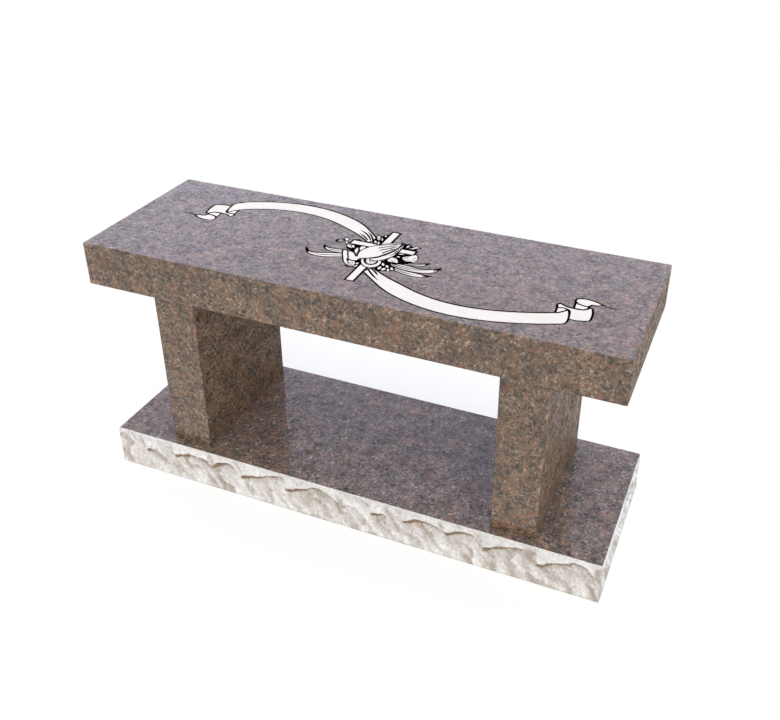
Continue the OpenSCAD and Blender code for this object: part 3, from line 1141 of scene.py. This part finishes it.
# The soft panel behind the bench, in metres.
PANEL_PLACE, PANEL_WIDTH, PANEL_HEIGHT = (-1.4, 3.6, 3.0), 7.0, 4.5


def add_floor(stage):
    """A square floor under the base."""
    half = stage.floor_size / 2
    mesh = bpy.data.meshes.new("floor")
    corners = [(-half, -half, 0), (half, -half, 0), (half, half, 0), (-half, half, 0)]
    mesh.from_pydata(corners, [], [(0, 1, 2, 3)])
    mesh.materials.append(floor_material(stage))
    floor = link("floor", mesh)


def add_sky(stage):
    """Soft light from all round, which the camera and reflections see as plain white."""
    world = bpy.data.worlds.new("studio")
    world.use_nodes = True
    tree = world.node_tree
    tree.nodes.clear()
    tint = mixed(tree, ray_kinds(tree), [part * stage.sky_strength for part in stage.sky], PLAIN)
    backdrop = node(tree, "Background", {"Color": tint, "Strength": 1.0})
    node(tree, "OutputWorld", {"Surface": backdrop.outputs[0]})
    bpy.context.scene.world = world


def add_lamps(stage):
    """Far lamps with wide soft discs."""
    for name, tint, turn, rise, width in LAMPS:
        lamp = bpy.data.lights.new(name, "SUN")
        lamp.energy, lamp.color, lamp.angle = getattr(stage, name), tint, math.radians(width)
        holder = link(name, lamp)
        holder.rotation_euler = (math.radians(90 - rise), 0, math.radians(turn))
        # The lamp behind lights the back alone: the panel's sheen is all that shows on the level faces.
        holder.visible_glossy = name != "back"


def add_panel(stage):
    """A wide soft panel behind the bench, whose cool sheen lies on the level faces."""
    lamp = bpy.data.lights.new("back_panel", "AREA")
    lamp.shape, lamp.size, lamp.size_y = "RECTANGLE", PANEL_WIDTH, PANEL_HEIGHT
    lamp.energy, lamp.color = stage.panel_power, stage.panel
    panel = link("back_panel", lamp)
    panel.location = PANEL_PLACE
    aim = Vector(CAD_BOX[1]) * 0.5
    panel.rotation_euler = (aim - panel.location).to_track_quat("-Z", "Y").to_euler()
    panel.visible_camera = False


def add_camera():
    """The camera, in its place and at its turn."""
    lens = bpy.data.cameras.new("camera")
    lens.sensor_width, lens.lens = 36.0, CAMERA_LENS
    lens.shift_x, lens.shift_y = CAMERA_SHIFT
    lens.clip_end = 200.0
    turn = Matrix.Rotation(math.radians(CAMERA_TURN), 4, "Z")
    dip = Matrix.Rotation(math.radians(90 - CAMERA_DIP), 4, "X")
    roll = Matrix.Rotation(math.radians(CAMERA_ROLL), 4, "Z")
    camera = link("camera", lens)
    camera.matrix_world = Matrix.Translation(CAMERA_PLACE) @ turn @ dip @ roll
    bpy.context.scene.camera = camera


class BENCH_OT_add_stage(bpy.types.Operator):
    """Set up the floor, the light and the camera"""

    bl_idname = "bench.add_stage"
    bl_label = "Add the stage"

    def execute(self, context):
        stage = context.scene.bench_stage
        add_floor(stage)
        add_sky(stage)
        add_lamps(stage)
        add_panel(stage)
        context.scene.view_settings.view_transform = "Standard"
        add_camera()
        return {"FINISHED"}


class BENCH_PT_panel(bpy.types.Panel):
    """Settings of the bench, and a button for each of its pieces"""

    bl_idname = "BENCH_PT_panel"
    bl_label = "Memorial bench"
    bl_space_type = "VIEW_3D"
    bl_region_type = "UI"
    bl_category = "Bench"

    def draw(self, context):
        for group in SETTINGS:
            box = self.layout.box()
            settings = getattr(context.scene, group)
            for name in settings.__annotations__:
                box.prop(settings, name)
        for operator in OPERATORS:
            self.layout.operator(operator.bl_idname)


SETTINGS = {
    "bench_stone": BenchStoneSettings,
    "bench_carving": BenchCarvingSettings,
    "bench_base": BenchBaseSettings,
    "bench_stage": BenchStageSettings,
}
OPERATORS = (
    BENCH_OT_add_stage,
    BENCH_OT_add_seat,
    BENCH_OT_add_carving,
    BENCH_OT_add_supports,
    BENCH_OT_add_base,
)
CLASSES = (*SETTINGS.values(), *OPERATORS, BENCH_PT_panel)


def register():
    for cls in CLASSES:
        bpy.utils.register_class(cls)
    for name, group in SETTINGS.items():
        setattr(bpy.types.Scene, name, PointerProperty(type=group))


def unregister():
    for name in SETTINGS:
        delattr(bpy.types.Scene, name)
    for cls in reversed(CLASSES):
        bpy.utils.unregister_class(cls)


def main():
    """Build the bench and its stage."""
    register()
    bpy.ops.bench.add_stage()
    bpy.ops.bench.add_seat()
    bpy.ops.bench.add_carving()
    bpy.ops.bench.add_supports()
    bpy.ops.bench.add_base()


if __name__ == "__main__":
    main()
